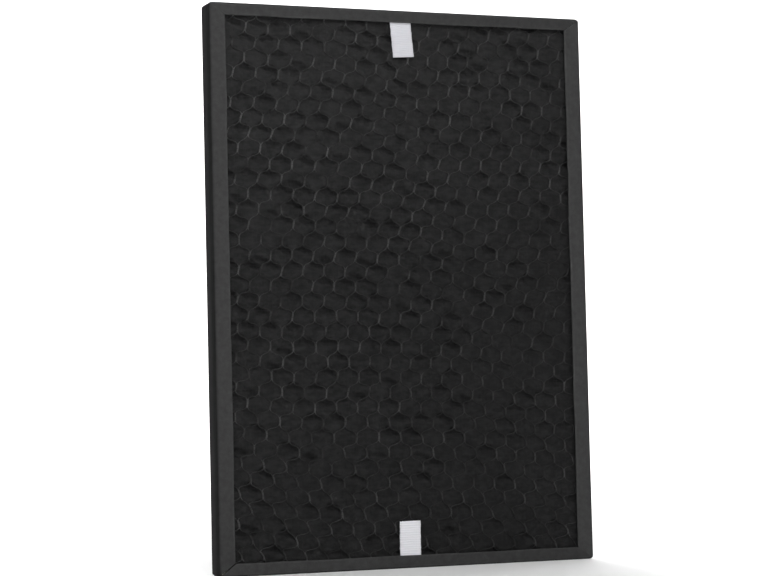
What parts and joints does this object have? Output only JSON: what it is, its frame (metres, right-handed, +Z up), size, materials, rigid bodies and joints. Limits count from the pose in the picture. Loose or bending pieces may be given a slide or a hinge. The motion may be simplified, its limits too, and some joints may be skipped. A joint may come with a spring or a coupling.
{
  "type": "air purifier filter panel",
  "caption": "Upright activated-carbon filter panel for an air purifier: a dark folded-board frame around a netted honeycomb of granules, with a white pull tab at top and bottom.",
  "frame": {"origin": "middle of the bottom edge, halfway through the thickness", "axes": "+Z up along the height, +X along the width, and the front face with the pull tabs towards -Y"},
  "size_m": [0.26, 0.015, 0.36],
  "materials": {
    "frame_board": "matt black-grey board with soft folds",
    "melt_glue": "cloudy hot-melt glue",
    "net_cloth": "fine open polyester net",
    "ribbon_paper": "matt dark grey paper",
    "carbon_granules": "black broken carbon granules",
    "tab_tape": "white ribbed cotton tape"
  },
  "bodies": {
    "panel": {"left_rail": "frame_board", "right_rail": "frame_board", "top_rail": "frame_board", "bottom_rail": "frame_board", "left_glue_bead": "melt_glue", "right_glue_bead": "melt_glue", "top_glue_bead": "melt_glue", "bottom_glue_bead": "melt_glue", "front_net": "net_cloth", "back_net": "net_cloth", "honeycomb_ribbon_01": "ribbon_paper", "honeycomb_ribbon_02": "ribbon_paper", "honeycomb_ribbon_03": "ribbon_paper", "honeycomb_ribbon_04": "ribbon_paper", "honeycomb_ribbon_05": "ribbon_paper", "honeycomb_ribbon_06": "ribbon_paper", "honeycomb_ribbon_07": "ribbon_paper", "honeycomb_ribbon_08": "ribbon_paper", "honeycomb_ribbon_09": "ribbon_paper", "honeycomb_ribbon_10": "ribbon_paper", "honeycomb_ribbon_11": "ribbon_paper", "honeycomb_ribbon_12": "ribbon_paper", "honeycomb_ribbon_13": "ribbon_paper", "honeycomb_ribbon_14": "ribbon_paper", "honeycomb_ribbon_15": "ribbon_paper", "honeycomb_ribbon_16": "ribbon_paper", "honeycomb_ribbon_17": "ribbon_paper", "honeycomb_ribbon_18": "ribbon_paper", "honeycomb_ribbon_19": "ribbon_paper", "honeycomb_ribbon_20": "ribbon_paper", "honeycomb_ribbon_21": "ribbon_paper", "honeycomb_ribbon_22": "ribbon_paper", "honeycomb_ribbon_23": "ribbon_paper", "honeycomb_ribbon_24": "ribbon_paper", "honeycomb_ribbon_25": "ribbon_paper", "honeycomb_ribbon_26": "ribbon_paper", "honeycomb_ribbon_27": "ribbon_paper", "honeycomb_ribbon_28": "ribbon_paper", "honeycomb_ribbon_29": "ribbon_paper", "honeycomb_ribbon_30": "ribbon_paper", "honeycomb_ribbon_31": "ribbon_paper", "honeycomb_ribbon_32": "ribbon_paper", "honeycomb_ribbon_33": "ribbon_paper", "honeycomb_ribbon_34": "ribbon_paper", "honeycomb_ribbon_35": "ribbon_paper", "honeycomb_ribbon_36": "ribbon_paper", "top_tab_anchor": "tab_tape", "bottom_tab_anchor": "tab_tape"},
    "top_flap": {"top_tab": "tab_tape"},
    "bottom_flap": {"bottom_tab": "tab_tape"}
  },
  "joints": [
    {"name": "top_tab_lift", "type": "hinge", "parent": "panel", "child": "top_flap", "pos_m": [0.001, -0.0065, 0.3514], "axis": [-1, 0, 0], "range_deg": [0, 120], "stiffness_Nm_per_rad": 0.0002, "springref_deg": -20.05},
    {"name": "bottom_tab_lift", "type": "hinge", "parent": "panel", "child": "bottom_flap", "pos_m": [-0.0005, -0.0065, 0.0086], "axis": [1, 0, 0], "range_deg": [0, 120], "stiffness_Nm_per_rad": 0.0002, "springref_deg": -20.05}
  ]
}
